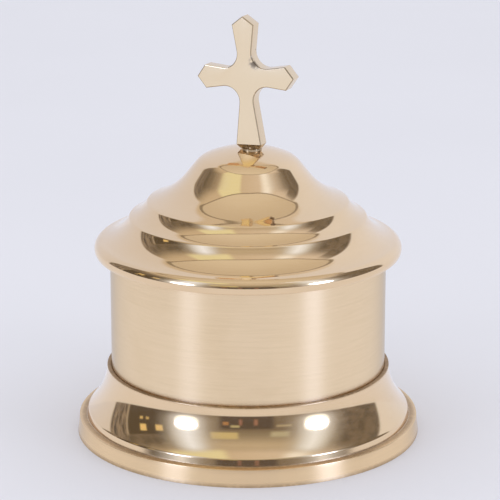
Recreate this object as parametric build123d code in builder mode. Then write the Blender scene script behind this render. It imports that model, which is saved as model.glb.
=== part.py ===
from build123d import *
from math import cos, hypot, radians, sin, sqrt
import os

# A standing brass pyx: a flared foot, a straight vessel, and a lift-off tiered lid that carries a cross.
# Millimetres, +Z up. The origin is the centre of the ring that the foot stands on.
# The turned pieces are half sections in the XZ plane, revolved about Z. The cross lies in the XZ plane.

# Vessel
body_radius = 39.9
body_wall = 1.6
body_length = 35.2
floor_thickness = 1.6
floor_clearance = 0.05

# Foot
foot_radius = 50.0
foot_height = 20.2
foot_band_height = 5.1
foot_band_draft = 0.55
foot_ledge_width = 2.15
foot_bead_height = 2.0
foot_bead_draft = 0.45
foot_bead_round = 0.3
foot_flare_lean = 3.0
foot_band_round = 0.4
foot_rim_width = 3.6
foot_wall = 3.0
foot_web = 2.4
lip_wall = 1.2
lip_chamfer = 0.35
lip_round = 0.6
recess_depth = 1.5
recess_clearance = 0.05

# Stud, washer and nut that hold the vessel to the foot
cup_stud_radius = 3.0
cup_stud_clearance = 0.3
foot_washer_radius = 6.0
foot_washer_thickness = 1.6
foot_nut_across_flats = 10.0
foot_nut_height = 5.0

# Lid: rim, two hollow-sided tiers and the bell above them
rim_overhang = 4.5
rim_round = 2.65
rim_drop = 1.45
rim_top_slope = 13.4
lower_tier_inset = 10.2
lower_tier_height = 10.7
lower_tier_slope = 19.7
upper_tier_inset = 5.2
upper_tier_height = 4.4
tier_edge_round = 0.3
skirt_slope = 22.8
skirt_length = 2.6
flare_radius = 21.8
flank_slope = 51.5
flank_length = 4.55
shoulder_radius = 7.75
crown_slope = 22.8
lid_wall = 2.6
lid_edge_wall = 3.4
crown_wall = 3.0

# Bezel ring under the lid
bezel_clearance = 0.3
bezel_wall = 1.5
bezel_depth = 7.0
bezel_rebate = 3.5

# Cross, which stands a little off the lid's axis and leans in its own plane
cross_offset_x = 2.0
cross_offset_y = -1.8
cross_bar_height = 21.4
cross_top_length = 17.5
cross_span = 29.9
cross_thickness = 4.0
cross_lean = 3.2
top_tip_rise = 2.45
side_tip_rise = 2.55
top_end_width = 6.7
side_end_width = 6.75
stem_end_width = 7.7
arm_root_width = 2.9
bar_root_width = 3.8
arm_root_round = 4.3
stem_sink = 0.1
stem_bevel_height = 1.3
stem_bevel_inset = 0.9
collar_radius = 2.9
collar_height = 0.8
seat_clearance = 0.05
cross_edge_round = 0.3

# Stud, washer and nut that hold the cross to the lid
cross_stud_radius = 1.25
cross_stud_clearance = 0.2
cross_stud_grip = 6.0
cross_washer_radius = 3.0
cross_washer_thickness = 0.5
cross_nut_across_flats = 5.0
cross_nut_height = 2.0
ceiling_margin = 0.8

stud_end_length = 1.5
stud_chamfer = 0.4
washer_clearance = 0.2

# Heights and radii that follow from them
body_bore = body_radius - body_wall
lip_radius = body_radius + recess_clearance + lip_wall
recess_floor = foot_height - recess_depth
web_bottom = recess_floor - foot_web
mouth = recess_floor + body_length
foot_nut_top = web_bottom - foot_washer_thickness
rim_radius = body_radius + rim_overhang
lower_tier_radius = rim_radius - lower_tier_inset
upper_tier_radius = lower_tier_radius - upper_tier_inset
bezel_radius = body_bore - bezel_clearance
bezel_bore = bezel_radius - bezel_wall

os.makedirs("parts", exist_ok=True)


def heading(slope):
    """Unit direction in the half section that runs inwards and climbs at this slope in degrees."""
    return Vector(-cos(radians(slope)), sin(radians(slope)))


def inwards(point, slope, depth):
    """The point this deep below a surface of this slope, straight in from it."""
    return point - Vector(sin(radians(slope)), cos(radians(slope))) * depth


def hex_nut(across_flats, height, bore):
    """A plain hexagon nut, its top face on the plane it is built on."""
    with BuildPart() as nut:
        with BuildSketch():
            RegularPolygon(across_flats / 2, 6, major_radius=False)
            Circle(bore, mode=Mode.SUBTRACT)
        extrude(amount=-height)
    return nut.part


# Foot: band, ledge, bead, hollow flare and lip outside, a hollow under the web inside
band_top_radius = foot_radius - foot_band_draft
bead_radius = band_top_radius - foot_ledge_width
bead_top = foot_band_height + foot_bead_height
flare_end = Vector(bead_radius - foot_bead_draft, bead_top)
flare_start = Vector(lip_radius, foot_height)
flare_down = Vector(sin(radians(foot_flare_lean)), -cos(radians(foot_flare_lean)))
flare_out = Vector(-flare_down.Y, flare_down.X)
flare_chord = flare_end - flare_start
foot_flare_radius = flare_chord.length**2 / (2 * flare_chord.dot(flare_out))
flare_centre = flare_start + flare_out * foot_flare_radius
hollow_radius = foot_flare_radius + foot_wall
rim_inner_radius = foot_radius - foot_rim_width
hollow_run = flare_centre.X - rim_inner_radius
hollow_rise = flare_centre.Y - web_bottom
hollow_low = Vector(rim_inner_radius, flare_centre.Y - sqrt(hollow_radius**2 - hollow_run**2))
hollow_high = Vector(flare_centre.X - sqrt(hollow_radius**2 - hollow_rise**2), web_bottom)
recess_radius = body_radius + recess_clearance
with BuildPart() as foot:
    with BuildSketch(Plane.XZ) as section:
        with BuildLine():
            Polyline((rim_inner_radius, 0), (foot_radius, 0), (band_top_radius, foot_band_height))
            Polyline((band_top_radius, foot_band_height), (bead_radius, foot_band_height), flare_end)
            TangentArc(flare_start, flare_end, tangent=flare_down)
            Polyline(flare_start, (recess_radius, foot_height), (recess_radius, recess_floor))
            Polyline((recess_radius, recess_floor), (0, recess_floor), (0, web_bottom), hollow_high)
            RadiusArc(hollow_high, hollow_low, -hollow_radius)
            Line(hollow_low, (rim_inner_radius, 0))
        make_face()
        corners = section.vertices()
        fillet(corners.sort_by_distance((band_top_radius, foot_band_height))[0], foot_band_round)
        fillet(corners.sort_by_distance(flare_end)[0], foot_bead_round)
        fillet(corners.sort_by_distance(flare_start)[0], lip_round)
        chamfer(corners.sort_by_distance((recess_radius, foot_height))[0], lip_chamfer)
    revolve(axis=Axis.Z)
    with Locations((0, 0, recess_floor)):
        Hole(cup_stud_radius + cup_stud_clearance, foot_web)
foot.part.label = "foot"
export_step(foot.part, "parts/foot.step")

# Body tube: stands in the foot's recess
with BuildPart() as body_tube:
    with BuildSketch(Plane.XY.offset(recess_floor)):
        Circle(body_radius)
        Circle(body_bore, mode=Mode.SUBTRACT)
    extrude(amount=body_length)
body_tube.part.label = "body_tube"
export_step(body_tube.part, "parts/body_tube.step")

# Cup floor: the disc that closes the tube
with BuildPart() as cup_floor:
    with BuildSketch(Plane.XY.offset(recess_floor)):
        Circle(body_bore - floor_clearance)
    extrude(amount=floor_thickness)
cup_floor.part.label = "cup_floor"
export_step(cup_floor.part, "parts/cup_floor.step")

# Stud under the cup floor, with its washer and nut under the foot's web
cup_stud_end = foot_nut_top - foot_nut_height - stud_end_length
with BuildPart() as cup_stud:
    with BuildSketch(Plane.XY.offset(cup_stud_end)):
        Circle(cup_stud_radius)
    extrude(amount=recess_floor - cup_stud_end)
    chamfer(cup_stud.edges().sort_by(Axis.Z)[0], stud_chamfer)
cup_stud.part.label = "cup_stud"
export_step(cup_stud.part, "parts/cup_stud.step")

with BuildPart() as foot_washer:
    with BuildSketch(Plane.XY.offset(web_bottom)):
        Circle(foot_washer_radius)
        Circle(cup_stud_radius + washer_clearance, mode=Mode.SUBTRACT)
    extrude(amount=-foot_washer_thickness)
foot_washer.part.label = "foot_washer"
export_step(foot_washer.part, "parts/foot_washer.step")

with BuildPart() as foot_nut:
    with Locations((0, 0, foot_nut_top)):
        add(hex_nut(foot_nut_across_flats, foot_nut_height, cup_stud_radius))
foot_nut.part.label = "foot_nut"
export_step(foot_nut.part, "parts/foot_nut.step")

# Lid shell, from the rim up: rounded rim, two hollow tiers, skirt, flare, flank, shoulder and crown
rim_centre = Vector(rim_radius - rim_round, mouth + rim_drop)
rim_foot = Vector(rim_centre.X + sqrt(rim_round**2 - rim_drop**2), mouth)
rim_side = Vector(rim_radius, rim_centre.Y)
rim_top = inwards(rim_centre, rim_top_slope, -rim_round)
lower_edge = Vector(lower_tier_radius, mouth + lower_tier_height)
upper_edge = Vector(upper_tier_radius, lower_edge.Y + upper_tier_height)
cross_offset = hypot(cross_offset_x, cross_offset_y)
seat_radius = collar_radius + seat_clearance
ceiling_radius = cross_offset + cross_washer_radius + ceiling_margin
with BuildPart() as lid_shell:
    with BuildSketch(Plane.XZ) as section:
        with BuildLine():
            ThreePointArc(rim_foot, rim_side, rim_top)
            TangentArc(rim_top, lower_edge, tangent=heading(rim_top_slope))
            TangentArc(lower_edge, upper_edge, tangent=heading(lower_tier_slope))
            skirt = Line(upper_edge, upper_edge + heading(skirt_slope) * skirt_length)
            flare = JernArc(skirt @ 1, skirt % 1, flare_radius, skirt_slope - flank_slope)
            flank = Line(flare @ 1, flare @ 1 + heading(flank_slope) * flank_length)
            shoulder = JernArc(flank @ 1, flank % 1, shoulder_radius, flank_slope - crown_slope)
            crown_radius = (shoulder @ 1).X / sin(radians(crown_slope))
            crown_top = (shoulder @ 1).Y + crown_radius * (1 - cos(radians(crown_slope)))
            ceiling = crown_top - crown_wall
            TangentArc(shoulder @ 1, (0, crown_top), tangent=shoulder % 1)
            shoulder_inside = inwards(shoulder @ 0.5, (flank_slope + crown_slope) / 2, lid_wall)
            flare_inside = inwards(flare @ 0.5, (skirt_slope + flank_slope) / 2, lid_wall)
            upper_inside = inwards(upper_edge, (skirt_slope + flank_slope) / 2, lid_edge_wall)
            lower_inside = inwards(lower_edge, (skirt_slope + flank_slope) / 2, lid_edge_wall)
            Polyline(
                (0, crown_top),
                (0, ceiling),
                (ceiling_radius, ceiling),
                shoulder_inside,
                flare_inside,
                upper_inside,
                lower_inside,
                (bezel_bore, mouth + bezel_rebate),
                (bezel_radius, mouth + bezel_rebate),
                (bezel_radius, mouth),
                rim_foot,
            )
        make_face()
        corners = section.vertices()
        for edge in (lower_edge, upper_edge):
            fillet(corners.sort_by_distance(edge)[0], tier_edge_round)
    revolve(axis=Axis.Z)
    # The collar's flat seat is cut down to where the crown passes the seat's outermost point
    seat_level = crown_top - crown_radius + sqrt(crown_radius**2 - (cross_offset + seat_radius) ** 2)
    seat_depth = crown_top - seat_level
    with Locations((cross_offset_x, cross_offset_y, crown_top)):
        CounterBoreHole(cross_stud_radius + cross_stud_clearance, seat_radius, seat_depth, crown_wall)
lid_shell.part.label = "lid_shell"
export_step(lid_shell.part, "parts/lid_shell.step")

# Bezel ring: soldered into the lid's rebate, slips into the vessel's mouth
with BuildPart() as lid_bezel:
    with BuildSketch(Plane.XY.offset(mouth - bezel_depth)):
        Circle(bezel_radius)
        Circle(bezel_bore, mode=Mode.SUBTRACT)
    extrude(amount=bezel_depth + bezel_rebate)
lid_bezel.part.label = "lid_bezel"
export_step(lid_bezel.part, "parts/lid_bezel.step")

# Cross: flat, with tapering arms and pointed ends, on a turned collar that sits in the crown's seat
half_span = cross_span / 2
arm_end = cross_top_length - top_tip_rise
side_end = half_span - side_tip_rise
root = Vector(arm_root_width / 2, bar_root_width / 2)
stem_end = collar_height - stem_sink - cross_bar_height
right_side = [
    (top_end_width / 2, arm_end),
    (root.X, root.Y),
    (side_end, side_end_width / 2),
    (half_span, 0),
    (side_end, -side_end_width / 2),
    (root.X, -root.Y),
    (stem_end_width / 2, stem_end),
]
left_side = [(-x, y) for x, y in reversed(right_side)]
lean = radians(cross_lean)
seat_centre = Vector(cross_offset_x, cross_offset_y, seat_level)
bar_centre = seat_centre + Vector(-sin(lean), 0, cos(lean)) * cross_bar_height
cross_back = bar_centre + Vector(0, cross_thickness / 2, 0)
cross_plane = Plane(cross_back, x_dir=(cos(lean), 0, sin(lean)), z_dir=(0, -1, 0))
with BuildPart() as cross:
    with BuildSketch(cross_plane) as outline:
        with BuildLine():
            Polyline((0, cross_top_length), *right_side, *left_side, close=True)
        make_face()
        for side in (root.X, -root.X):
            for height in (root.Y, -root.Y):
                fillet(outline.vertices().sort_by_distance((side, height))[0], arm_root_round)
    extrude(amount=cross_thickness)
    foot_face = cross.faces().sort_by(Axis.Z)[0]
    chamfer(foot_face.edges(), stem_bevel_inset, stem_bevel_height, reference=foot_face)
    # The two lowest edges of the broad faces are the top of the stem's bevel and stay sharp
    fillet(cross.faces().filter_by(Axis.Y).edges().sort_by(Axis.Z)[2:], cross_edge_round)
    with BuildSketch(Plane(seat_centre)):
        Circle(collar_radius)
    extrude(amount=collar_height)
    with BuildSketch(Plane(seat_centre)):
        Circle(cross_stud_radius)
    extrude(amount=cross_stud_grip, mode=Mode.SUBTRACT)
cross.part.label = "cross"
export_step(cross.part, "parts/cross.step")

# Stud up into the cross, with its washer and nut under the crown
cross_nut_top = ceiling - cross_washer_thickness
cross_stud_end = cross_nut_top - cross_nut_height - stud_end_length
with BuildPart() as cross_stud:
    with BuildSketch(Plane((cross_offset_x, cross_offset_y, cross_stud_end))):
        Circle(cross_stud_radius)
    extrude(amount=seat_level + cross_stud_grip - cross_stud_end)
    chamfer(cross_stud.edges().sort_by(Axis.Z)[0], stud_chamfer)
cross_stud.part.label = "cross_stud"
export_step(cross_stud.part, "parts/cross_stud.step")

with BuildPart() as cross_washer:
    with BuildSketch(Plane((cross_offset_x, cross_offset_y, ceiling))):
        Circle(cross_washer_radius)
        Circle(cross_stud_radius + washer_clearance, mode=Mode.SUBTRACT)
    extrude(amount=-cross_washer_thickness)
cross_washer.part.label = "cross_washer"
export_step(cross_washer.part, "parts/cross_washer.step")

with BuildPart() as cross_nut:
    with Locations((cross_offset_x, cross_offset_y, cross_nut_top)):
        add(hex_nut(cross_nut_across_flats, cross_nut_height, cross_stud_radius))
cross_nut.part.label = "cross_nut"
export_step(cross_nut.part, "parts/cross_nut.step")
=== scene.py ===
"""Looks of a standing brass pyx: turned foot, vessel and lid, a cast cross, and a small studio around them.

All lengths are metres. The turned pieces are half sections (radius, height) carried once round Z.
"""

import math
from functools import partial

import bpy
import numpy as np
from bpy.props import FloatProperty, FloatVectorProperty, IntProperty, PointerProperty
from mathutils import Euler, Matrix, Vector


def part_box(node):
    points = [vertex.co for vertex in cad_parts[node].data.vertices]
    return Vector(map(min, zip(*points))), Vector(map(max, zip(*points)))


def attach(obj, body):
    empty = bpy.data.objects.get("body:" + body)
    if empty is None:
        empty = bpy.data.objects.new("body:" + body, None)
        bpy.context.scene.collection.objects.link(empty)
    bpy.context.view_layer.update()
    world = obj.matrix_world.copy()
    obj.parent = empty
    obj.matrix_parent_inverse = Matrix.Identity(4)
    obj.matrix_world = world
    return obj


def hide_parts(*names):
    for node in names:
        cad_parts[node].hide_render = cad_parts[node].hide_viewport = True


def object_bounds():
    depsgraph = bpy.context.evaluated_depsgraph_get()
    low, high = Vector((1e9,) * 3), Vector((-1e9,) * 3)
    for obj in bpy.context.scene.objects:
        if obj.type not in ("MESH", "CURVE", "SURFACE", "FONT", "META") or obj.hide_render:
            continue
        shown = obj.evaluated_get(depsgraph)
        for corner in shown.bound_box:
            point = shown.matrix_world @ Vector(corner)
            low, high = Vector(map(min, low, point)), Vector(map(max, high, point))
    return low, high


bl_info = {
    "name": "Standing pyx",
    "version": (1, 0, 0),
    "blender": (4, 5, 0),
    "location": "View3D > Sidebar > Pyx",
    "description": "Builds the finished surfaces of a standing brass pyx around its frame",
    "category": "Object",
}

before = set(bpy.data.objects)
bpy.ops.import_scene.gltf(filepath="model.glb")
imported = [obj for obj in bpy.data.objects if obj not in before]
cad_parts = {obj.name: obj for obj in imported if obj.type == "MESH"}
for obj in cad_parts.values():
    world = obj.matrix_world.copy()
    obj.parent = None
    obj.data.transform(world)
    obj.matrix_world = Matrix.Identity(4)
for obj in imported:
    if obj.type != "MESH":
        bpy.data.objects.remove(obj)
cad_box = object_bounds()
foot_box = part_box("foot")
tube_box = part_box("body_tube")
lid_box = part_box("lid_shell")
bezel_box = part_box("lid_bezel")
cross_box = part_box("cross")

MM = 0.001
SHARP_EDGE = math.radians(35)
FINE_ROUND = 0.12 * MM
CORNER_STEPS = 13
SAME_POINT = 1e-8


# Properties

def number(name, default, description, **settings):
    """A number property."""
    return FloatProperty(name=name, description=description, default=default, **settings)


def length(name, millimetres, description):
    """A length property whose default is given in millimetres."""
    return number(name, millimetres * MM, description, subtype="DISTANCE", unit="LENGTH", precision=5)


def slope(name, degrees, description):
    """An angle property whose default is given in degrees."""
    return number(name, math.radians(degrees), description, subtype="ANGLE", unit="ROTATION")


def share(name, default, description):
    """A plain number from 0 to 1."""
    return number(name, default, description, min=0.0, max=1.0, subtype="FACTOR")


def power(name, watts, description):
    """A lamp's power in watts."""
    return number(name, watts, description, unit="POWER")


def colour(name, default, description):
    """A colour property in linear light."""
    return FloatVectorProperty(name=name, description=description, default=default, min=0.0, max=1.0,
                               subtype="COLOR")


class PyxFootSizes(bpy.types.PropertyGroup):
    """Half section of the foot."""
    radius: length("Radius", foot_box[1].x / MM, "Radius of the ring that the foot stands on")
    height: length("Height", foot_box[1].z / MM, "Height of the lip's top edge")
    band_height: length("Band height", 5.1, "Height of the satin band at the bottom")
    band_draft: length("Band draft", 0.55, "How far the band leans in from its foot to its top")
    band_round: length("Band rounding", 0.18, "Rounding of the band's top edge")
    ledge_width: length("Ledge width", 2.15, "Width of the flat ledge above the band")
    bead_height: length("Bead height", 2.0, "Height of the step from the ledge to the flare")
    bead_draft: length("Bead draft", 0.45, "How far the step leans in from the ledge to the flare")
    bead_round: length("Bead rounding", 0.3, "Rounding of the step's top edge")
    # groove and seam reach as far as the painted shade there
    groove: length("Groove", 1.4, "Reach of the dull corner where the ledge meets the step")
    seam: length("Seam", 1.22, "Reach of the dull line where the lip meets the vessel")
    flare_lean: slope("Flare lean", 3.0, "Lean of the flare where it leaves the lip")
    lip_round: length("Lip rounding", 0.25, "Rounding of the lip's outer edge")
    lip_radius: length("Lip radius", 41.15, "Outer radius of the lip round the vessel")
    recess_radius: length("Recess radius", 39.95, "Inner radius of the lip")
    recess_depth: length("Recess depth", 1.5, "Depth of the recess that the vessel stands in")
    lip_chamfer: length("Lip chamfer", 0.35, "Chamfer of the lip's inner edge")
    wall: length("Wall", 3.0, "Thickness of the flare")
    web: length("Web", 2.4, "Thickness of the web under the vessel")
    rim_width: length("Rim width", 3.6, "Width of the ring that the foot stands on")
    hole: length("Hole radius", 3.3, "Radius of the hole in the web")


class PyxVesselSizes(bpy.types.PropertyGroup):
    """Half section of the straight vessel wall."""
    radius: length("Radius", tube_box[1].x / MM, "Outer radius of the wall")
    wall: length("Wall", 1.6, "Thickness of the wall")
    edge_round: length("Edge rounding", 0.25, "Rounding of the mouth's edges")


class PyxLidSizes(bpy.types.PropertyGroup):
    """Half section of the lid and of the ring under it."""
    rim_radius: length("Rim radius", lid_box[1].x / MM, "Radius of the rim at its widest")
    rim_round: length("Rim rounding", 2.65, "Radius of the rim's rounded edge")
    rim_drop: length("Rim drop", 1.45, "Height of the rim's widest ring above its flat underside")
    rim_top_slope: slope("Rim top slope", 13.4, "Slope where the rounded edge runs into the lower hollow")
    lower_radius: length("Lower tier radius", 34.2, "Radius of the lower tier's edge")
    lower_height: length("Lower tier height", 10.7, "Height of the lower tier's edge above the mouth")
    lower_slope: slope("Lower tier slope", 19.7, "Slope where the upper hollow starts")
    upper_radius: length("Upper tier radius", 29.0, "Radius of the upper tier's edge")
    upper_height: length("Upper tier height", 15.1, "Height of the upper tier's edge above the mouth")
    edge_round: length("Tier edge rounding", 0.3, "Rounding of the two tiers' edges")
    skirt_slope: slope("Skirt slope", 22.8, "Slope of the bell's skirt")
    skirt_length: length("Skirt length", 2.6, "Length of the bell's skirt along its slope")
    flare_radius: length("Flare radius", 21.8, "Radius of the hollow from the skirt to the flank")
    flank_slope: slope("Flank slope", 51.5, "Slope of the bell's straight flank")
    flank_length: length("Flank length", 4.55, "Length of the flank along its slope")
    shoulder_radius: length("Shoulder radius", 7.75, "Radius of the round from the flank to the crown")
    crown_slope: slope("Crown slope", 22.8, "Slope where the crown starts")
    wall: length("Wall", 2.6, "Thickness of the bell")
    edge_wall: length("Edge wall", 3.4, "Depth of the inside below the tiers' edges")
    crown_wall: length("Crown wall", 3.0, "Thickness of the crown on the axis")
    ceiling_radius: length("Ceiling radius", 6.5, "Radius of the flat inside the crown")
    bezel_radius: length("Bezel radius", bezel_box[1].x / MM, "Outer radius of the ring under the lid")
    bezel_wall: length("Bezel wall", 1.5, "Thickness of the ring under the lid")
    bezel_round: length("Bezel rounding", 0.3, "Rounding of that ring's lower edges")


class PyxCrossSizes(bpy.types.PropertyGroup):
    """Outline and section of the cross."""
    offset_x: length("Offset X", 2.0, "How far the cross stands off the axis along X")
    offset_y: length("Offset Y", -1.8, "How far the cross stands off the axis along Y")
    bar_height: length("Bar height", 21.4, "Height of the bar's centre above the collar's seat")
    top_length: length("Top length", 17.5, "Length of the top arm from the bar's centre")
    span: length("Span", 29.9, "Span of the bar")
    thickness: length("Thickness", 4.0, "Thickness of the cross")
    lean: slope("Lean", 3.2, "How far the cross leans in its own plane")
    top_tip: length("Top tip", 2.45, "Rise of the top arm's point")
    side_tip: length("Side tip", 2.55, "Reach of the side arms' points")
    top_width: length("Top width", 6.7, "Width of the top arm's end")
    side_width: length("Side width", 6.75, "Width of the side arms' ends")
    stem_width: length("Stem width", 7.7, "Width of the stem's end")
    arm_root: length("Arm root", 2.9, "Width of the upright where its sides meet the bar's")
    bar_root: length("Bar root", 3.8, "Width of the bar where its sides meet the upright's")
    root_round: length("Root rounding", 4.3, "Rounding between the arms")
    tip_round: length("Tip rounding", 0.26, "Rounding of the points, seen from the front")
    edge_round: length("Edge rounding", 0.25, "Rounding of the edges all round")
    bevel_height: length("Bevel height", 1.3, "Height of the bevel at the stem's foot")
    bevel_inset: length("Bevel inset", 0.9, "Inset of the bevel at the stem's foot")
    stem_rise: length("Stem rise", 0.7, "Height of the stem's end above the collar's seat")
    collar_radius: length("Collar radius", 2.9, "Radius of the collar")
    collar_height: length("Collar height", 0.8, "Height of the collar")
    collar_round: length("Collar rounding", 0.15, "Rounding of the collar's top edge")


class PyxFinishes(bpy.types.PropertyGroup):
    """Colours and finish of the brass."""
    brass: colour("Brass", (0.91, 0.67, 0.41), "Colour of clean brass")
    dull_brass: colour("Dulled brass", (0.80, 0.57, 0.31), "Colour of handled, slightly tarnished brass")
    # Colour of the casting pits, and of the painted shade on the stem's bevel
    pit_and_shade_colour: colour("Cast skin", (0.17, 0.13, 0.09), "Colour of brass left as cast")
    # Colour of the painted shade in seams, corners and round the foot's base, where the brass is also duller
    painted_shade: colour("Grime", (0.38, 0.25, 0.14), "Colour of polish residue in corners")
    mirror_roughness: share("Mirror roughness", 0.045, "Roughness of the polished pieces")
    haze: share("Haze", 0.7, "Weight of the worn lacquer that veils the polished pieces")
    satin_brass: colour("Satin brass", (0.985, 0.765, 0.50), "Colour of the satin-turned wall")
    band_brass: colour("Band brass", (0.99, 0.725, 0.435), "Colour of the foot's satin-turned band")
    satin_roughness: share("Satin roughness", 0.225, "Roughness of the satin-turned wall and band")
    cross_brass: colour("Cross brass", (0.965, 0.785, 0.535), "Colour of the cross")
    # Darker copy of the cross brass: painted shade on the cross's narrow sides
    shaded_side_brass: colour("Side brass", (0.86, 0.69, 0.475), "Colour of the cross's narrow sides")
    # Darker copy of the cross brass: painted shade on the cross's edges and on the collar
    shaded_edge_brass: colour("Edge brass", (0.50, 0.38, 0.24), "Colour of the cross's dulled edges")
    cross_roughness: share("Cross roughness", 0.2, "Roughness of the cross")
    plain_roughness: share("Plain roughness", 0.34, "Roughness of the inside and of the fixings")


class PyxStage(bpy.types.PropertyGroup):
    """Camera, floor and light."""
    azimuth: slope("Camera azimuth", 24.7, "Camera's turn about the axis, from the cross's front towards +X")
    distance: length("Camera distance", 700.0, "Camera's distance from the axis, along the floor")
    height: length("Camera height", 257.6, "Camera's height above the floor")
    pitch: slope("Camera pitch", 16.22, "How far the camera looks down")
    pan: slope("Camera pan", 0.046, "How far the camera looks past the axis, to the right")
    lens: number("Lens", 181.4, "Focal length in millimetres on a 36 mm sensor")
    floor: colour("Floor", (0.755, 0.76, 0.835), "Colour of the floor")
    ground: colour("Background", (0.76, 0.76, 0.83), "Colour behind the object")
    fill: share("Fill", 1.0, "Level of the fill light on matt surfaces")
    table: colour("Table in mirrors", (0.79, 0.81, 0.91), "Tone of the table where polished brass mirrors it")
    left_glow: power("Left glint", 6.0, "Power of the left glint")
    right_glow: power("Right glint", 10.0, "Power of the right glint")
    left_power: power("Left softbox", 0.8, "Power of the left softbox")
    right_power: power("Right softbox", 0.8, "Power of the right softbox")
    turns: IntProperty(name="Turns", description="Steps round each turned piece", default=336, min=48,
                       max=512)


# Half sections

def straight(start, end, count=2):
    """Points at even steps from start to end."""
    return np.linspace(start, end, count)


def spokes(step):
    """Points on the circle of radius 1 at these turns."""
    return np.column_stack([np.cos(step), np.sin(step)])


def arc_turning(start, heading, radius, turn, count=24):
    """The arc that leaves start along heading and turns by turn, to the left where turn is positive."""
    ahead = np.array([math.cos(heading), math.sin(heading)])
    across = np.array([-ahead[1], ahead[0]]) * np.sign(turn)
    step = np.linspace(0, abs(turn), count)
    return start + radius * (np.outer(np.sin(step), ahead) + np.outer(1 - np.cos(step), across))


def arc_between(start, end, heading, count=24):
    """The arc that leaves start along heading and ends at end.

    It turns by twice the angle from the heading to the chord. Its radius is the chord's length squared over
    twice the chord's part across the heading.
    """
    chord = end - start
    along = chord @ [math.cos(heading), math.sin(heading)]
    across = chord @ [-math.sin(heading), math.cos(heading)]
    radius = abs(chord @ chord / (2 * across))
    return arc_turning(start, heading, radius, 2 * math.atan2(across, along), count)


def arc_length(path):
    """Distance along a path at each of its points."""
    return np.concatenate([[0.0], np.cumsum(np.hypot(*np.diff(path, axis=0).T))])


def cut(path, start, end):
    """The path without this much of its length at its start and end."""
    along = arc_length(path)
    low, high = start, along[-1] - end
    inside = path[(along > low + SAME_POINT) & (along < high - SAME_POINT)]
    ends = [np.array([np.interp(at, along, path[:, axis]) for axis in (0, 1)]) for at in (low, high)]
    return np.vstack([ends[0], inside, ends[1]])


def joined(runs, closed=False, count=6):
    """Runs of points put end to end, each corner between two runs rounded.

    runs holds (points, rounding after them). A corner is a parabola whose ends lie that far from it along
    the two runs and whose middle control point is the corner itself. Returns the points and, for each, the
    number of its run.
    """
    paths = [run for run, _ in runs]
    rounds = [reach for _, reach in runs]
    before = [rounds[-1] if closed else 0.0] + rounds[:-1]
    after = rounds if closed else rounds[:-1] + [0.0]
    trimmed = [cut(path, low, high) for path, low, high in zip(paths, before, after)]
    step = np.linspace(0, 1, count + 1)[1:-1, None]
    pieces, numbers = [], []
    for which, path in enumerate(trimmed):
        pieces.append(path)
        if after[which] > 0:
            corner, ahead = paths[which][-1], trimmed[(which + 1) % len(trimmed)][0]
            pieces.append((1 - step) ** 2 * path[-1] + 2 * step * (1 - step) * corner + step**2 * ahead)
        numbers += [which] * (sum(map(len, pieces)) - len(numbers))
    points, numbers = np.vstack(pieces), np.array(numbers)
    apart = np.hypot(*(points - np.roll(points, 1, axis=0)).T) > SAME_POINT
    apart[0] = apart[0] or not closed
    return refined(points[apart], numbers[apart])


def refined(path, numbers, longest=1.5 * MM):
    """The path with its long steps divided, so that no step is longer than this, and its numbers."""
    along = arc_length(path)
    counts = np.maximum(1, np.ceil(np.diff(along) / longest)).astype(int)
    at = np.concatenate([np.linspace(a, b, n, endpoint=False) for a, b, n in zip(along, along[1:], counts)])
    at = np.append(at, along[-1])
    points = np.column_stack([np.interp(at, along, path[:, 0]), np.interp(at, along, path[:, 1])])
    return points, np.append(np.repeat(numbers[:-1], counts), numbers[-1])


def legs(corners, reach):
    """Straight runs from corner to corner, each followed by a rounding of this reach."""
    return [(straight(start, end), reach) for start, end in zip(corners, corners[1:])]


def rounded(corners, reach, closed=True):
    """A section of straight runs between these corners, each corner rounded by this reach."""
    return joined(legs(corners + corners[:1] if closed else corners, reach), closed)


def fading(distance, reach, soft):
    """1 near by and 0 far off, falling through a half at this reach along a smooth S."""
    return 0.5 - 0.5 * np.tanh((distance - reach) / (2 * soft))


# Meshes

def mesh_object(name, vertices, faces, facing, marks):
    """A mesh object of these faces, smooth except at its sharp edges.

    faces holds an array for each number of corners, with a face in each row, and facing each face's material
    number. marks maps a point attribute's name to its values.
    """
    mesh = bpy.data.meshes.new(name)
    mesh.vertices.add(len(vertices))
    mesh.vertices.foreach_set("co", np.ascontiguousarray(vertices, np.float32).ravel())
    corners = np.concatenate([kind.ravel() for kind in faces]).astype(np.int32)
    sizes = np.concatenate([np.full(len(kind), kind.shape[1]) for kind in faces])
    mesh.loops.add(len(corners))
    mesh.loops.foreach_set("vertex_index", corners)
    mesh.polygons.add(len(sizes))
    mesh.polygons.foreach_set("loop_start", (np.cumsum(sizes) - sizes).astype(np.int32))
    mesh.polygons.foreach_set("material_index", np.asarray(facing, np.int32))
    mesh.update(calc_edges=True)
    if mesh.validate():
        raise RuntimeError(f"the mesh of {name} has bad faces")
    mesh.shade_smooth()
    mesh.set_sharp_from_angle(angle=SHARP_EDGE)
    for mark, values in marks.items():
        layer = mesh.attributes.new(mark, "FLOAT", "POINT")
        layer.data.foreach_set("value", np.asarray(values, np.float32))
    piece = bpy.data.objects.new(name, mesh)
    bpy.context.scene.collection.objects.link(piece)
    return piece


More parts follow.
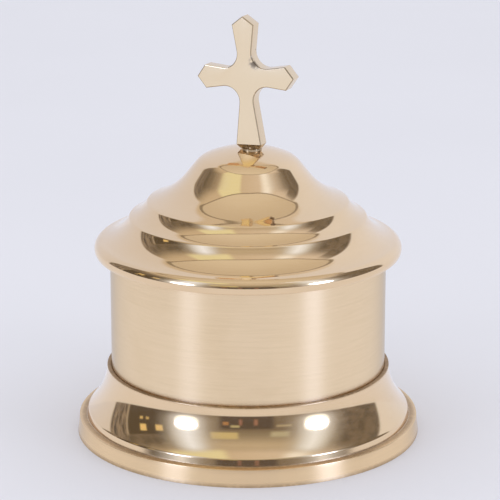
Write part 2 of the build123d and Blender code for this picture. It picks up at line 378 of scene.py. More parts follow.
def turned(name, section, turns, closed=True, finish=None, painted_shade=None, middle=(0, 0, 0)):
    """A half section carried round Z: point (r, h) at turn a becomes (r cos a, r sin a, h) from the middle.

    The section runs down the outside and up the inside. A closed one ends where it starts. An open one starts
    and ends on the axis, where its two ends become poles. finish is the material number of the step after
    each point and painted_shade the weight of painted shade there. The attribute along is the way down the
    section.
    """
    count = len(section)
    angle = np.linspace(0, 2 * math.pi, turns, endpoint=False)
    finish = np.zeros(count, int) if finish is None else finish
    painted_shade = np.zeros(count) if painted_shade is None else painted_shade
    along = arc_length(section)
    rings = np.arange(count) if closed else np.arange(1, count - 1)
    radius, height = section[rings].T
    vertices = np.stack([np.outer(radius, np.cos(angle)), np.outer(radius, np.sin(angle)),
                         np.repeat(height[:, None], turns, 1)], axis=-1).reshape(-1, 3)
    steps = np.arange(len(rings) if closed else len(rings) - 1)
    upper = steps[:, None] * turns
    lower = (steps[:, None] + 1) % len(rings) * turns
    here = np.arange(turns)
    ahead = np.roll(here, -1)
    quads = np.stack([upper + here, lower + here, lower + ahead, upper + ahead], -1).reshape(-1, 4)
    facing = np.repeat(finish[rings[steps]], turns)
    triangles = np.empty((0, 3), int)
    ways, shade_levels = np.repeat(along[rings], turns), np.repeat(painted_shade[rings], turns)
    if not closed:
        top, bottom = len(vertices), len(vertices) + 1
        vertices = np.vstack([vertices, [[0, 0, section[0, 1]], [0, 0, section[-1, 1]]]])
        last = (len(rings) - 1) * turns
        triangles = np.vstack([np.column_stack([np.full(turns, top), here, ahead]),
                               np.column_stack([last + ahead, last + here, np.full(turns, bottom)])])
        facing = np.concatenate([facing, np.full(turns, finish[0]), np.full(turns, finish[-2])])
        ways, shade_levels = np.append(ways, [0, along[-1]]), np.append(shade_levels, painted_shade[[0, -1]])
    marks = {"along": ways, "painted_shade": shade_levels}
    return mesh_object(name, vertices + np.asarray(middle), [quads, triangles], facing, marks)


def placed(piece, body, nodes, materials):
    """Gives a piece its materials, its body and the nodes that it stands for."""
    for name in materials:
        piece.data.materials.append(material_named(name))
    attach(piece, body)
    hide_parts(*nodes)


# Materials

def wire(tree, kind, inputs=None, output=0, **settings):
    """Adds a node with these settings, gives its inputs links or values, and returns one of its outputs."""
    node = tree.nodes.new(kind)
    for key, value in settings.items():
        setattr(node, key, value)
    for key, value in (inputs or {}).items():
        if isinstance(value, bpy.types.NodeSocket):
            tree.links.new(value, node.inputs[key])
        else:
            node.inputs[key].default_value = value
    return node.outputs[output] if node.outputs else None


def tree_of(*values):
    """The node tree of the first socket among these values."""
    return next(value.id_data for value in values if isinstance(value, bpy.types.NodeSocket))


def maths(operation, first, second=0.0):
    """One step of arithmetic."""
    return wire(tree_of(first, second), "ShaderNodeMath", {0: first, 1: second}, operation=operation)


plus, minus, times, over = (partial(maths, name) for name in ("ADD", "SUBTRACT", "MULTIPLY", "DIVIDE"))


def vector_maths(operation, first, second=(0, 0, 0), output=0):
    """One step of arithmetic on vectors."""
    inputs = {0: first, 1: second}
    return wire(tree_of(first, second), "ShaderNodeVectorMath", inputs, output, operation=operation)


def ranged(value, low, high, to_low=0.0, to_high=1.0):
    """A value carried smoothly from one range to another and held at the ends."""
    inputs = {"Value": value, "From Min": low, "From Max": high, "To Min": to_low, "To Max": to_high}
    return wire(tree_of(value), "ShaderNodeMapRange", inputs, interpolation_type="SMOOTHSTEP")


def blended(factor, first, second):
    """A mix of two colours, which are the colour mix node's inputs 6 and 7 and whose mix is its output 2."""
    colours = [each if isinstance(each, bpy.types.NodeSocket) else (*each, 1.0) for each in (first, second)]
    inputs = {0: factor, 6: colours[0], 7: colours[1]}
    return wire(tree_of(factor), "ShaderNodeMix", inputs, 2, data_type="RGBA")


def noise(vector, scale, detail=2.0, roughness=0.5):
    """Noise of this scale on a vector."""
    inputs = {"Vector": vector, "Scale": scale, "Detail": detail, "Roughness": roughness}
    return wire(tree_of(vector), "ShaderNodeTexNoise", inputs, "Fac")


def new_material(name):
    """The tree of a new, empty node material, and in it the place on the object."""
    if name in bpy.data.materials:
        raise RuntimeError(f"there is a {name} already")
    material = bpy.data.materials.new(name)
    material.use_nodes = True
    tree = material.node_tree
    tree.nodes.clear()
    return tree, wire(tree, "ShaderNodeTexCoord", output="Object")


def material_named(name):
    """A material that an earlier operator made."""
    if name not in bpy.data.materials:
        raise RuntimeError(f"make the finishes first: there is no {name}")
    return bpy.data.materials[name]


def attribute(tree, name):
    """A point attribute of the mesh."""
    return wire(tree, "ShaderNodeAttribute", output="Fac", attribute_name=name)


def level(spot):
    """The place on the object without its height."""
    return vector_maths("MULTIPLY", spot, (1, 1, 0))


def shaded(tree, height, strength, distance, **inputs):
    """Ends a tree in a shader with a bump. inputs maps the shader's sockets, spaces as underscores."""
    relief = {"Height": height, "Strength": strength, "Distance": distance}
    normal = wire(tree, "ShaderNodeBump", relief, "Normal")
    named = {key.replace("_", " "): value for key, value in inputs.items()}
    shader = wire(tree, "ShaderNodeBsdfPrincipled", {"Metallic": 1.0, "Normal": normal, **named}, "BSDF")
    wire(tree, "ShaderNodeOutputMaterial", {"Surface": shader})


def lathe_lines(tree, spot, pitch, around=2.5):
    """Noise drawn out round the axis: fine across the section, slow round it."""
    slow = vector_maths("MULTIPLY", vector_maths("NORMALIZE", level(spot)), (around,) * 3)
    down = wire(tree, "ShaderNodeCombineXYZ", {"Z": over(attribute(tree, "along"), pitch)})
    return noise(vector_maths("ADD", slow, down), 1.0, detail=3.0, roughness=0.6)


def turned_brass(name, finish, brass, roughness, dulling, line_pitch, line_depth, stretch=0.0, haze=0.0,
                 uneven=0.5, edge=1.0):
    """Brass finished on the lathe: fine lines round it, clouds of handling, and painted shade, with duller
    brass, in seams and corners.

    stretch draws the gleam out up and down the piece, haze is the weight of the dim lacquer over it, uneven
    how far the gloss varies, and edge how bright the brass stays where it turns away from the eye.
    """
    tree, spot = new_material(name)
    cloud = noise(spot, 38.0, detail=4.0, roughness=0.55)
    speck = noise(spot, 900.0)
    lines = lathe_lines(tree, spot, line_pitch)
    # Painted shade from the mesh, which also makes the brass duller
    painted_shade = attribute(tree, "painted_shade")
    handled = times(ranged(cloud, 0.42, 0.72), dulling)
    streaked = times(ranged(lines, 0.35, 0.75), dulling * 0.6)
    worn = blended(plus(handled, streaked), brass, finish.dull_brass)
    patchy = times(painted_shade, ranged(speck, 0.25, 0.6, 0.55, 1.0))
    base = blended(patchy, worn, finish.painted_shade)
    lift = times(ranged(cloud, 0.4, 0.75), roughness * uneven)
    spread = uneven * 0.3
    lined = ranged(lines, 0.3, 0.8, roughness * (1 - spread), roughness * (1 + spread))
    rough = plus(plus(lift, lined), times(painted_shade, 0.35))
    tangent = wire(tree, "ShaderNodeTangent", direction_type="RADIAL", axis="Z")
    shaded(tree, lines, 1.0, line_depth, Base_Color=base, Roughness=rough, Anisotropic=stretch,
           Anisotropic_Rotation=0.25, Tangent=tangent, Coat_Weight=haze, Coat_Roughness=0.4,
           Specular_Tint=(edge, edge, edge, 1.0))


def cast_brass(name, finish, brass, relief_depth, painted_darkness):
    """Brass filed and polished by hand: soft waves, fine scratches every way and a few pits.

    painted_darkness is how much of the surface gets dark blotches of painted shade. Pits crowd round one
    point, a flaw in the cross.
    """
    tree, spot = new_material(name)
    flaw = (cross_box[0].x + cross_box[1].x) / 2 + 3.0 * MM, cross_box[0].y, cross_box[1].z - 13.0 * MM
    flaw_reach = 2.6 * MM
    gloss = finish.cross_roughness
    cloud = noise(spot, 70.0, detail=4.0, roughness=0.55)
    drawn = {"Vector": spot, "Rotation": (0.0, 0.5, 0.0), "Scale": (900.0, 900.0, 6000.0)}
    scratch = noise(wire(tree, "ShaderNodeMapping", drawn), 1.0, detail=3.0, roughness=0.6)
    pits = wire(tree, "ShaderNodeTexVoronoi", {"Vector": spot, "Scale": 520.0}, "Distance")
    few = times(ranged(pits, 0.05, 0.16, 1.0, 0.0), ranged(noise(spot, 210.0), 0.62, 0.68))
    away = vector_maths("DISTANCE", spot, flaw, "Value")
    crowd = times(ranged(away, flaw_reach * 0.4, flaw_reach, 1.0, 0.0),
                  ranged(noise(spot, 1000.0), 0.45, 0.51))
    # Dark blotches of painted shade
    blotchy_shade = times(ranged(noise(spot, 1100.0, detail=3.0), 0.3, 0.55), painted_darkness)
    pits_and_shade = maths("MAXIMUM", maths("MAXIMUM", few, crowd), blotchy_shade)
    worn = blended(times(ranged(cloud, 0.4, 0.75), 0.15), brass, finish.dull_brass)
    base = blended(times(pits_and_shade, 0.85), worn, finish.pit_and_shade_colour)
    rough = plus(ranged(scratch, 0.3, 0.75, gloss * 0.92, gloss * 1.1), times(pits_and_shade, 0.3))
    relief = minus(plus(times(cloud, 2.0), scratch), times(pits_and_shade, 3.0))
    shaded(tree, relief, 0.6, relief_depth, Base_Color=base, Roughness=rough)


def machined_brass(name, finish):
    """Plain machined brass for the floor and the fixings: dull, with rings on the flats and some tarnish."""
    tree, spot = new_material(name)
    gloss = finish.plain_roughness
    pitch = 0.22 * MM
    reach = vector_maths("LENGTH", level(spot), output="Value")
    height = wire(tree, "ShaderNodeSeparateXYZ", {0: spot}, "Z")
    ring = wire(tree, "ShaderNodeCombineXYZ", {"X": over(reach, pitch), "Y": over(height, pitch)})
    rings = noise(ring, 1.0, roughness=0.6)
    cloud = noise(spot, 55.0, detail=5.0, roughness=0.6)
    base = blended(times(ranged(cloud, 0.35, 0.7), 0.75), finish.brass, finish.dull_brass)
    rough = plus(ranged(rings, 0.3, 0.75, gloss * 0.8, gloss * 1.2), times(cloud, 0.12))
    shaded(tree, rings, 0.5, 0.02 * MM, Base_Color=base, Roughness=rough)


def floor_paper(name, tone):
    """Pale seamless paper with a faint tooth."""
    tree, spot = new_material(name)
    tooth = noise(spot, 1400.0, detail=3.0, roughness=0.6)
    base = blended(ranged(noise(spot, 6.0), 0.3, 0.7), [value * 0.985 for value in tone], tone)
    shaded(tree, tooth, 0.15, 0.1 * MM, Base_Color=base, Metallic=0.0, Roughness=0.8)


# Room that polished brass mirrors

def near(value, middle, reach, soft):
    """1 within reach of the middle, falling to 0 over the soft edge."""
    apart = maths("ABSOLUTE", minus(value, middle))
    return ranged(apart, reach - soft, reach + soft, 1.0, 0.0)


def under_sheet(room, side, front, height):
    """The room with a pale sheet overhead and its dark edge.

    The sheet is a bowed oval in the plane one unit up, deeper ahead of its widest line than behind it.
    """
    widest, shift, half_width = -0.37, 0.04, 0.60
    depth_ahead, depth_behind, bow = 0.80, 0.20, 2.4
    across, ahead = over(side, height), over(front, height)
    before = minus(ahead, widest)
    deep = maths("MAXIMUM", over(before, depth_ahead), over(before, -depth_behind))
    wide = maths("ABSOLUTE", over(minus(across, shift), half_width))
    bowed = plus(maths("POWER", deep, bow), maths("POWER", wide, bow))
    above = ranged(height, 0.2, 0.3)
    within = times(ranged(bowed, 0.97, 1.03, 1.0, 0.0), above)
    sheet = blended(ranged(ahead, -0.5, 0.4), (0.63, 0.59, 0.53), (0.74, 0.72, 0.68))
    room = blended(within, room, sheet)
    off = times(minus(bowed, 1.0), ranged(before, -0.1, 0.1, 0.25, 1.0))
    edge = times(near(off, 0.0, 0.05, 0.025), above)
    return blended(times(edge, 0.8), room, (0.20, 0.17, 0.12))


def mirrored_room(tree, stage):
    """Pale paper behind, a pale ceiling, dim walls with small lights, a sheet, a table and softboxes.

    Directions are a turn from the camera, right positive, and a climb from the horizon, in degrees.
    """
    way = wire(tree, "ShaderNodeTexCoord", output="Generated")
    sine, cosine = math.sin(stage.azimuth), math.cos(stage.azimuth)
    front, side = (vector_maths("DOT_PRODUCT", way, level_way, "Value")
                   for level_way in ((sine, -cosine, 0), (cosine, sine, 0)))
    height = wire(tree, "ShaderNodeSeparateXYZ", {0: way}, "Z")
    swing = maths("DEGREES", maths("ARCTAN2", side, front))
    climb = maths("DEGREES", maths("ARCSINE", height))

    def patch(room, turns, climbs, soft, tone):
        """The room with a soft-edged rectangle of this tone between two turns and two climbs."""
        across = near(swing, sum(turns) / 2, (turns[1] - turns[0]) / 2, soft[0])
        upward = near(climb, sum(climbs) / 2, (climbs[1] - climbs[0]) / 2, soft[1])
        return blended(times(across, upward), room, tone)

    def pool(room, turns, climbs, tone):
        """The room with a rounded, soft-edged pool of this tone between two turns and two climbs."""
        spread = 0.0
        for value, (start, end) in ((swing, turns), (climb, climbs)):
            apart = over(minus(value, (start + end) / 2), (end - start) / 2)
            spread = plus(maths("POWER", maths("ABSOLUTE", apart), 3.0), spread)
        return blended(ranged(spread, 0.35, 1.0, 1.0, 0.0), room, tone)

    rightward = ranged(side, -0.6, 0.9)
    ceiling = blended(rightward, (0.627, 0.57, 0.487), (0.766, 0.743, 0.764))
    paper = blended(rightward, (0.73, 0.75, 0.86), (0.82, 0.86, 0.99))
    behind = minus(1.0, near(swing, -3.5, 118.5, 2.5))
    low = ranged(climb, 50.0, 54.0, 1.0, 0.0)
    room = blended(times(behind, low), ceiling, paper)
    drapes = wire(tree, "ShaderNodeCombineXYZ", {"X": times(swing, 0.45), "Y": times(climb, 0.06)})
    folds = ranged(noise(drapes, 1.0, detail=3.0, roughness=0.6), 0.35, 0.65)
    curtain = blended(folds, (0.11, 0.095, 0.08), (0.34, 0.30, 0.265))
    mottle = ranged(noise(way, 9.0, detail=4.0, roughness=0.65), 0.38, 0.62)
    wall = blended(mottle, (0.15, 0.13, 0.10), (0.22, 0.19, 0.155))
    lit = blended(ranged(climb, 22.0, 50.0), (0.27, 0.245, 0.20), (0.62, 0.58, 0.50))
    down = -60  # A climb far below the table's edge
    for row in (
        # Walls
        ((-121, 115), (down, 48), (2.5, 10), wall),
        ((-122, -106), (down, 42), (2, 8), curtain),
        ((97, 115.5), (down, 52), (2.5, 6), wall),
        ((-52, 60), (down, 50), (14, 9), lit),
        ((-38, 44), (down, 23), (4, 3), (0.24, 0.21, 0.17)),
        # Doorway with lit windows
        ((-104, -63), (down, 30), (1.5, 1.5), (0.11, 0.09, 0.06)),
        ((-106, -104), (down, 30), (0.7, 2), (0.40, 0.37, 0.33)),
        ((-91.5, -85.5), (18.5, 26), (1, 1), (0.85, 0.70, 0.36)),
        ((-76.5, -70), (18.5, 25.5), (1, 1.5), (0.85, 0.70, 0.36)),
        ((-91.5, -88.5), (10, 13), (0.8, 0.8), (0.70, 0.58, 0.30)),
        ((-85.5, -82.5), (10, 13), (0.8, 0.8), (0.60, 0.50, 0.26)),
        # Dark middle of the room, with small lights
        ((-22, 20), (down, 19), (3, 2.5), (0.12, 0.10, 0.085)),
        ((-19.5, -15), (8, 13), (0.8, 1), (0.45, 0.27, 0.13)),
        ((-13.5, -6.5), (13, 16.5), (0.8, 0.8), (0.50, 0.50, 0.34)),
        ((-7, -4.5), (4, 13), (0.8, 2), (0.34, 0.20, 0.17)),
        ((4.5, 7.5), (4, 13), (0.8, 2), (0.36, 0.22, 0.18)),
        ((22, 34), (13, 16), (1, 1), (0.48, 0.46, 0.38)),
        ((-30, -8), (24, 34), (2, 2), (0.64, 0.60, 0.37)),
        ((18, 33), (23, 31), (2.5, 2.5), (0.52, 0.54, 0.46)),
        ((-76, -22), (51, 69), (6, 4), (0.84, 0.88, 0.68)),
        ((40, 62), (53, 68), (10, 5), (1.0, 1.1, 1.3)),
    ):
        room = patch(room, *row)
    room = under_sheet(room, side, front, height)
    room = blended(ranged(climb, -1.5, 0.0, 1.0, 0.0), room, stage.table)
    # Light round the softboxes
    for row in (
        ((-66, -32), (2, 50), (14, 9), (0.57, 0.60, 0.64)),
        ((38, 72), (2, 51), (14, 9), (0.60, 0.63, 0.67)),
        ((-57, -41), (2, 51), (12, 6), (1.0, 1.22, 1.75)),
        ((47, 63), (2, 51), (12, 6), (1.0, 1.20, 1.65)),
    ):
        room = patch(room, *row)
    room = pool(room, (-60.5, -37.5), (1.5, 24.5), (1.5, 1.7, 2.1))
    room = pool(room, (43, 66.5), (1, 25), (1.6, 1.8, 2.2))
    return room


# Operators

class PYX_OT_finishes(bpy.types.Operator):
    """Make the brass finishes"""
    bl_idname = "pyx.finishes"
    bl_label = "Finishes"

    def execute(self, context):
        finish = context.scene.pyx_finishes
        turned_brass("mirror_brass", finish, finish.brass, finish.mirror_roughness, dulling=0.25,
                     line_pitch=0.18 * MM, line_depth=0.0012 * MM, haze=finish.haze)
        for name, brass in (("brushed_brass", finish.satin_brass), ("band_brass", finish.band_brass)):
            turned_brass(name, finish, brass, finish.satin_roughness, dulling=0.2, line_pitch=0.4 * MM,
                         line_depth=0.0002 * MM, stretch=0.9, uneven=0.08, edge=0.7)
        turned_brass("inside_brass", finish, finish.brass, finish.plain_roughness, dulling=0.6,
                     line_pitch=0.3 * MM, line_depth=0.01 * MM, stretch=0.5)
        # The narrow sides and the edges are darker copies of the cross brass: painted shade
        for name in ("cross_brass", "shaded_side_brass", "shaded_edge_brass"):
            cast_brass(name, finish, getattr(finish, name), relief_depth=0.0004 * MM, painted_darkness=0.0)
        # The stem's bevel faces down: its dark blotches are painted shade
        cast_brass("bevel_brass", finish, finish.cross_brass, relief_depth=0.002 * MM, painted_darkness=0.65)
        machined_brass("machined_brass", finish)
        return {"FINISHED"}


class PYX_OT_foot(bpy.types.Operator):
    """Turn the flared foot"""
    bl_idname = "pyx.foot"
    bl_label = "Foot"

    def execute(self, context):
        size = context.scene.pyx_foot
        band_top = np.array([size.radius - size.band_draft, size.band_height])
        ledge_in = band_top - [size.ledge_width, 0]
        flare_low = ledge_in + [-size.bead_draft, size.bead_height]
        lip = np.array([size.lip_radius, size.height])
        outward = np.array([math.cos(size.flare_lean), math.sin(size.flare_lean)])
        chord = flare_low - lip
        flare_radius = (chord @ chord) / (2 * chord @ outward)
        flare = arc_between(lip, flare_low, size.flare_lean - math.pi / 2, 48)
        recess_floor = size.height - size.recess_depth
        web_low = recess_floor - size.web
        centre = lip + flare_radius * outward
        hollow = flare_radius + size.wall
        rim_in = size.radius - size.rim_width
        hollow_low = np.array([rim_in, centre[1] - math.sqrt(hollow**2 - (centre[0] - rim_in) ** 2)])
        hollow_high = np.array([centre[0] - math.sqrt(hollow**2 - (centre[1] - web_low) ** 2), web_low])
        swing = [math.atan2(*(point - centre)[::-1]) % (2 * math.pi) for point in (hollow_low, hollow_high)]
        under = centre + hollow * spokes(np.linspace(*swing, 30))
        recess = np.array([size.recess_radius, recess_floor])
        lip_in = np.array([size.recess_radius, size.height])
        section, run = joined([
            (flare, size.bead_round),
            (straight(flare_low, ledge_in, 24), FINE_ROUND),
            (straight(ledge_in, band_top, 24), size.band_round),
            *legs([band_top, (size.radius, 0), (rim_in, 0), hollow_low], FINE_ROUND),
            (under, FINE_ROUND),
            *legs([hollow_high, (size.hole, web_low), (size.hole, recess_floor), recess], FINE_ROUND),
            (straight(recess, lip_in), size.lip_chamfer),
            (straight(lip_in, lip), size.lip_round),
        ], closed=True)
        mirror, band, inside = range(3)
        finish = np.array([mirror] * 2 + [band] * 2 + [inside] * 7 + [band])[run]
        finish[np.hypot(*(section - lip).T) < size.lip_round * 1.2] = band
        # Painted shade, where the brass is also duller: in the corner where the ledge meets the step, along
        # the seam at the vessel and round the foot's base
        groove = np.hypot(*((section - ledge_in) * [1, 4]).T)
        painted_shade = 0.6 * fading(groove, size.groove, 0.25 * MM)
        painted_shade += 0.8 * fading(np.hypot(*(section - lip_in).T), size.seam, 0.04 * MM)
        painted_shade += 0.7 * np.exp(-((np.hypot(*(section - [size.radius, 0]).T) / (0.3 * MM)) ** 2))
        turns = context.scene.pyx_stage.turns
        piece = turned("foot_turned", section, turns, finish=finish, painted_shade=np.clip(painted_shade, 0, 1))
        placed(piece, "vessel", ["foot"], ["mirror_brass", "band_brass", "inside_brass"])
        return {"FINISHED"}


class PYX_OT_vessel(bpy.types.Operator):
    """Turn the vessel's straight wall"""
    bl_idname = "pyx.vessel"
    bl_label = "Vessel wall"

    def execute(self, context):
        size = context.scene.pyx_vessel
        low, high = tube_box[0].z, tube_box[1].z
        outer, bore = size.radius, size.radius - size.wall
        section, run = rounded([(outer, high), (outer, low), (bore, low), (bore, high)], size.edge_round)
        brushed, inside = range(2)
        finish = np.array([brushed] * 2 + [inside] * 2)[run]
        # Painted shade on the outside, where the brass is also duller: a line at the seam with the foot and a
        # fainter one under the lid's rim
        painted_shade = 0.6 * np.exp(-np.abs(section[:, 1] - foot_box[1].z) / (0.12 * MM))
        painted_shade += 0.3 * np.exp(-np.abs(section[:, 1] - lid_box[0].z) / (0.3 * MM))
        painted_shade *= finish == brushed
        turns = context.scene.pyx_stage.turns
        piece = turned("vessel_wall", section, turns, finish=finish, painted_shade=painted_shade)
        placed(piece, "vessel", ["body_tube"], ["brushed_brass", "inside_brass"])
        return {"FINISHED"}


class PYX_OT_lid(bpy.types.Operator):
    """Turn the lid and the ring under it"""
    bl_idname = "pyx.lid"
    bl_label = "Lid"

    @staticmethod
    def bell(size, upper):
        """The skirt, flare, flank, shoulder and crown above the upper tier's edge.

        Returns their points, and the middle points of the flare and of the shoulder.
        """
        def climb(angle, reach):
            """The step inwards and up of this length at this slope."""
            return reach * np.array([-math.cos(angle), math.sin(angle)])

        skirt_end = upper + climb(size.skirt_slope, size.skirt_length)
        flare = arc_turning(skirt_end, math.pi - size.skirt_slope, size.flare_radius,
                            size.skirt_slope - size.flank_slope)
        flank_end = flare[-1] + climb(size.flank_slope, size.flank_length)
        shoulder = arc_turning(flank_end, math.pi - size.flank_slope, size.shoulder_radius,
                               size.flank_slope - size.crown_slope)
        crown_radius = shoulder[-1, 0] / math.sin(size.crown_slope)
        crown = arc_turning(shoulder[-1], math.pi - size.crown_slope, crown_radius, size.crown_slope, 32)
        crown[-1, 0] = 0.0
        points = np.vstack([upper, skirt_end, flare[1:], flank_end, shoulder[1:], crown[1:]])
        return points, flare[len(flare) // 2], shoulder[len(shoulder) // 2]

    def execute(self, context):
        size = context.scene.pyx_lid
        turns = context.scene.pyx_stage.turns
        mouth = lid_box[0].z
        rim_centre = np.array([size.rim_radius - size.rim_round, mouth + size.rim_drop])
        rim_turn = math.asin(size.rim_drop / size.rim_round)
        rim_steps = np.linspace(-rim_turn, math.pi / 2 - size.rim_top_slope, 40)
        rim = rim_centre + size.rim_round * spokes(rim_steps)
        lower = np.array([size.lower_radius, mouth + size.lower_height])
        upper = np.array([size.upper_radius, mouth + size.upper_height])
        lower_hollow = arc_between(rim[-1], lower, math.pi - size.rim_top_slope, 40)
        upper_hollow = arc_between(lower, upper, math.pi - size.lower_slope)
        bell, flare, shoulder = self.bell(size, upper)
        ceiling = bell[-1, 1] - size.crown_wall
        outer, bore = size.bezel_radius, size.bezel_radius - size.bezel_wall
        low, high = bezel_box[0].z, bezel_box[1].z
        inside_round = 0.4 * MM

        def inwards(point, angle, depth):
            """The point this deep below a surface of this slope."""
            return point - np.array([math.sin(angle), math.cos(angle)]) * depth

        middle = (size.skirt_slope + size.flank_slope) / 2
        inside = np.array([
            (0, ceiling),
            (size.ceiling_radius, ceiling),
            inwards(shoulder, (size.flank_slope + size.crown_slope) / 2, size.wall),
            inwards(flare, middle, size.wall),
            inwards(upper, middle, size.edge_wall),
            inwards(lower, middle, size.edge_wall),
            (bore, high),
            (outer, high),
        ])
        section, run = joined([
            *legs(inside, inside_round),
            *legs([inside[-1], (outer, mouth), rim[0]], FINE_ROUND),
            (np.vstack([rim, lower_hollow[1:]]), size.edge_round),
            (upper_hollow, size.edge_round),
            (bell, 0.0),
        ])
        finish = np.where(run > len(inside), 0, 1)
        lid = turned("lid_turned", section[::-1], turns, closed=False, finish=finish[::-1])
        placed(lid, "lid", ["lid_shell"], ["mirror_brass", "inside_brass"])
        section, _ = rounded([(outer, high), (outer, low), (bore, low), (bore, high)], size.bezel_round)
        placed(turned("lid_ring", section, turns), "lid", ["lid_bezel"], ["inside_brass"])
        return {"FINISHED"}


class PYX_OT_cross(bpy.types.Operator):
    """Shape the cross and its collar"""
    bl_idname = "pyx.cross"
    bl_label = "Cross"

    @staticmethod
    def outline(size):
        """The cross seen from the front: a polygon whose corners are arcs tangent to both their sides.

        An arc of radius R in a corner of half angle h starts R / tan h from the corner, and its centre lies
        R / sin h from it. Returns the points, CORNER_STEPS to a corner, and the outward directions.
        """
        half, foot = size.span / 2, size.stem_rise - size.bar_height
        side, arm = half - size.side_tip, size.top_length - size.top_tip
        right = [
            (size.top_width / 2, arm, size.tip_round),
            (size.arm_root / 2, size.bar_root / 2, size.root_round),
            (side, size.side_width / 2, size.tip_round),
            (half, 0, size.tip_round),
            (side, -size.side_width / 2, size.tip_round),
            (size.arm_root / 2, -size.bar_root / 2, size.root_round),
            (size.stem_width / 2, foot + size.bevel_height, size.tip_round),
            (size.stem_width / 2 - size.bevel_inset, foot, size.tip_round),
        ]
        top = [(0, size.top_length, size.tip_round)]
        corners = np.array(top + right + [(-x, y, r) for x, y, r in reversed(right)])
        points, radius = corners[:, :2], corners[:, 2:]
        back = np.roll(points, 1, axis=0) - points
        ahead = np.roll(points, -1, axis=0) - points
        back /= np.linalg.norm(back, axis=1, keepdims=True)
        ahead /= np.linalg.norm(ahead, axis=1, keepdims=True)
        opening = np.arccos(np.clip((back * ahead).sum(1), -1, 1))[:, None] / 2
        inward = back + ahead
        inward /= np.linalg.norm(inward, axis=1, keepdims=True)
        centre = points + inward * radius / np.sin(opening)
        swing = (math.pi / 2 - opening) * np.linspace(-1, 1, CORNER_STEPS)
        across = np.stack([-inward[:, 1], inward[:, 0]], -1)
        leaning = np.sign((across * ahead).sum(1))[:, None]
        spoke = (-inward[:, None, :] * np.cos(swing)[..., None]
                 + (across * leaning)[:, None, :] * np.sin(swing)[..., None])
        path = centre[:, None, :] + radius[:, :, None] * spoke
        hollow = np.sign(back[:, 0] * ahead[:, 1] - back[:, 1] * ahead[:, 0])[:, None, None]
        return path.reshape(-1, 2), (spoke * hollow).reshape(-1, 2)

    def execute(self, context):
        size = context.scene.pyx_cross
        seat = np.array([size.offset_x, size.offset_y, cross_box[0].z])
        path, outward = self.outline(size)
        if np.sum(path[:, 0] * np.roll(path[:, 1], -1) - path[:, 1] * np.roll(path[:, 0], -1)) > 0:
            raise RuntimeError("the cross's outline runs the wrong way round")
        foot = size.stem_rise - size.bar_height
        thin = size.bevel_inset * np.clip(1 - (path[:, 1] - foot) / size.bevel_height, 0, 1)
        half = size.thickness / 2 - thin
        turn = np.linspace(0, math.pi / 2, 6)
        inset = size.edge_round * (1 - np.sin(turn))
        drop = size.edge_round * (1 - np.cos(turn))
        depth = np.concatenate([-half + drop[:, None], half - drop[::-1, None]])
        shrink = np.concatenate([inset, inset[::-1]])
        flat = path - outward * shrink[:, None, None]
        sideways, upright = flat[..., 0], flat[..., 1] + size.bar_height
        sine, cosine = math.sin(size.lean), math.cos(size.lean)
        vertices = seat + np.stack([sideways * cosine - upright * sine, depth,
                                    sideways * sine + upright * cosine], -1)

        # Faces: rings from front to back, then the stem's bevel and the rest of each broad face
        rings, around = depth.shape
        here = np.arange(around)
        start = np.arange(rings - 1)[:, None] * around
        ring = np.stack([start + here, start + np.roll(here, -1)], -1)
        quads = np.concatenate([ring, ring[..., ::-1] + around], -1).reshape(-1, 4)
        bevel_corners = 7, 10
        right, left = (corner * CORNER_STEPS + CORNER_STEPS // 2 for corner in bevel_corners)
        low, high = here[None, right:left + 1], np.concatenate([here[left:], here[:right + 1]])[None]
        last = (rings - 1) * around
        faces = [quads, low[:, ::-1], high[:, ::-1], last + low, last + high]

        # Materials: painted shade on the narrow sides and on every edge but the left arm's upper one
        broad, bevel, edge, side = range(4)
        bevelled = (here >= right) & (here < left)
        between_edges = np.arange(rings - 1)[:, None] == rings // 2 - 1
        # The left arm's upper edge keeps the plain brass; the other edges get painted shade
        unshaded_edge = (outward[:, 1] > 0.98) & (path[:, 0] < 0)
        facing = np.where(bevelled, bevel, np.where(between_edges, side, np.where(unshaded_edge, broad, edge)))
        facing = np.append(facing.ravel(), [bevel, broad] * 2)
        cross = mesh_object("cross_cast", vertices.reshape(-1, 3), faces, facing, {})
        placed(cross, "lid", ["cross"],
               ["cross_brass", "bevel_brass", "shaded_edge_brass", "shaded_side_brass"])

        reach, top, collar_turns = size.collar_radius, size.collar_height, 96
        section, _ = rounded([(0, top), (reach, top), (reach, 0), (0, 0)], size.collar_round, closed=False)
        collar = turned("cross_collar", section, collar_turns, closed=False, middle=seat)
        # The collar is dark all over: painted shade
        placed(collar, "lid", ["cross"], ["shaded_edge_brass"])
        return {"FINISHED"}


class PYX_OT_fixings(bpy.types.Operator):
    """Finish the floor, the studs, the washers and the nuts"""
    bl_idname = "pyx.fixings"
    bl_label = "Floor and fixings"

    def execute(self, context):
        material = material_named("machined_brass")
        for name in ("cup_floor", "cup_stud", "foot_washer", "foot_nut",
                     "cross_stud", "cross_washer", "cross_nut"):
            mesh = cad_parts[name].data
            mesh.materials.clear()
            mesh.materials.append(material)
        return {"FINISHED"}


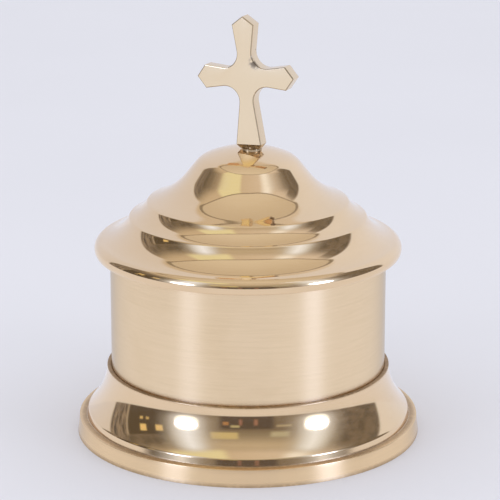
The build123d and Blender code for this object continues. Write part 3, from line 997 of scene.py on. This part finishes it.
class PYX_OT_stage(bpy.types.Operator):
    """Set up the floor, the light and the camera"""
    bl_idname = "pyx.stage"
    bl_label = "Stage"

    def execute(self, context):
        scene, stage = context.scene, context.scene.pyx_stage
        scene.view_settings.view_transform = "Standard"
        self.lay_floor(scene, stage)
        self.light_room(scene, stage)
        self.hang_lamps(scene, stage)
        self.set_camera(scene, stage)
        return {"FINISHED"}

    @staticmethod
    def lay_floor(scene, stage):
        """A square of paper under the object; polished brass mirrors the table of the room instead."""
        reach, bottom = 3.0, cad_box[0].z
        mesh = bpy.data.meshes.new("floor")
        mesh.from_pydata([(-reach, -reach, bottom), (reach, -reach, bottom), (reach, reach, bottom),
                          (-reach, reach, bottom)], [], [(0, 1, 2, 3)])
        floor = bpy.data.objects.new("floor", mesh)
        floor_paper("floor_paper", stage.floor)
        mesh.materials.append(material_named("floor_paper"))
        floor.visible_glossy = False
        scene.collection.objects.link(floor)

    @staticmethod
    def light_room(scene, stage):
        """The background for the camera, the room for mirrors, and plain fill for matt surfaces."""
        world = bpy.data.worlds.new("studio")
        world.use_nodes = True
        world.cycles.sampling_method = "NONE"
        scene.world = world
        tree = world.node_tree
        tree.nodes.clear()
        room = mirrored_room(tree, stage)
        mirrored, seen = (wire(tree, "ShaderNodeLightPath", output=ray)
                          for ray in ("Is Glossy Ray", "Is Camera Ray"))
        tone = blended(mirrored, (stage.fill,) * 3, room)
        tone = blended(seen, tone, stage.ground)
        shader = wire(tree, "ShaderNodeBackground", {"Color": tone, "Strength": 1.0})
        wire(tree, "ShaderNodeOutputWorld", {"Surface": shader})

    @staticmethod
    def hang_lamps(scene, stage):
        """A softbox at each side of the camera for matt surfaces, and a farther one for glints in brass."""
        aim = Vector((0, 0, 0.05))
        white, bluish = (1.0, 1.0, 1.0), (0.8, 1.05, 1.9)
        for name, swing, climb, reach, wide, tall, watts, glints in (
            ("softbox_left", -48.5, 18.0, 0.9, 0.30, 0.56, stage.left_power, False),
            ("softbox_right", 54.5, 20.0, 0.9, 0.32, 0.60, stage.right_power, False),
            ("glint_left", -49.0, 13.0, 3.0, 0.98, 0.92, stage.left_glow, True),
            ("glint_right", 54.8, 13.0, 3.0, 1.00, 0.95, stage.right_glow, True),
        ):
            lamp = bpy.data.lights.new(name, "AREA")
            lamp.shape = "ELLIPSE" if glints else "RECTANGLE"
            lamp.size, lamp.size_y, lamp.energy = wide, tall, watts
            lamp.color = bluish if glints else white
            turn, rise = stage.azimuth + math.radians(swing), math.radians(climb)
            way = Vector((math.sin(turn) * math.cos(rise), -math.cos(turn) * math.cos(rise), math.sin(rise)))
            holder = bpy.data.objects.new(name, lamp)
            holder.location = aim + way * reach
            holder.rotation_euler = (-way).to_track_quat("-Z", "Y").to_euler()
            holder.visible_glossy, holder.visible_diffuse = glints, not glints
            scene.collection.objects.link(holder)

    @staticmethod
    def set_camera(scene, stage):
        """The camera at the photograph's angle, with a long lens."""
        data = bpy.data.cameras.new("camera")
        data.lens = stage.lens
        data.sensor_width = 36.0
        camera = bpy.data.objects.new("camera", data)
        camera.location = (stage.distance * math.sin(stage.azimuth),
                           -stage.distance * math.cos(stage.azimuth), stage.height)
        camera.rotation_euler = Euler((math.pi / 2 - stage.pitch, 0.0, stage.azimuth - stage.pan), "XYZ")
        scene.collection.objects.link(camera)
        scene.camera = camera


class PYX_PT_panel(bpy.types.Panel):
    """The pyx's sizes, finishes and operators"""
    bl_idname = "PYX_PT_panel"
    bl_label = "Pyx"
    bl_space_type = "VIEW_3D"
    bl_region_type = "UI"
    bl_category = "Pyx"

    def draw(self, context):
        for name, _, operators in GROUPS:
            box = self.layout.box()
            group = getattr(context.scene, name)
            for key in group.__annotations__:
                box.prop(group, key)
            for operator in operators:
                box.operator(operator)


GROUPS = (
    ("pyx_finishes", PyxFinishes, ("pyx.finishes", "pyx.fixings")),
    ("pyx_foot", PyxFootSizes, ("pyx.foot",)),
    ("pyx_vessel", PyxVesselSizes, ("pyx.vessel",)),
    ("pyx_lid", PyxLidSizes, ("pyx.lid",)),
    ("pyx_cross", PyxCrossSizes, ("pyx.cross",)),
    ("pyx_stage", PyxStage, ("pyx.stage",)),
)
CLASSES = (
    *(group for _, group, _ in GROUPS),
    PYX_OT_finishes,
    PYX_OT_foot,
    PYX_OT_vessel,
    PYX_OT_lid,
    PYX_OT_cross,
    PYX_OT_fixings,
    PYX_OT_stage,
    PYX_PT_panel,
)


def register():
    for each in CLASSES:
        bpy.utils.register_class(each)
    for name, group, _ in GROUPS:
        setattr(bpy.types.Scene, name, PointerProperty(type=group))


def unregister():
    for name, _, _ in GROUPS:
        delattr(bpy.types.Scene, name)
    for each in reversed(CLASSES):
        bpy.utils.unregister_class(each)


def main():
    register()
    bpy.ops.pyx.finishes()
    bpy.ops.pyx.foot()
    bpy.ops.pyx.vessel()
    bpy.ops.pyx.lid()
    bpy.ops.pyx.cross()
    bpy.ops.pyx.fixings()
    bpy.ops.pyx.stage()


if __name__ == "__main__":
    main()
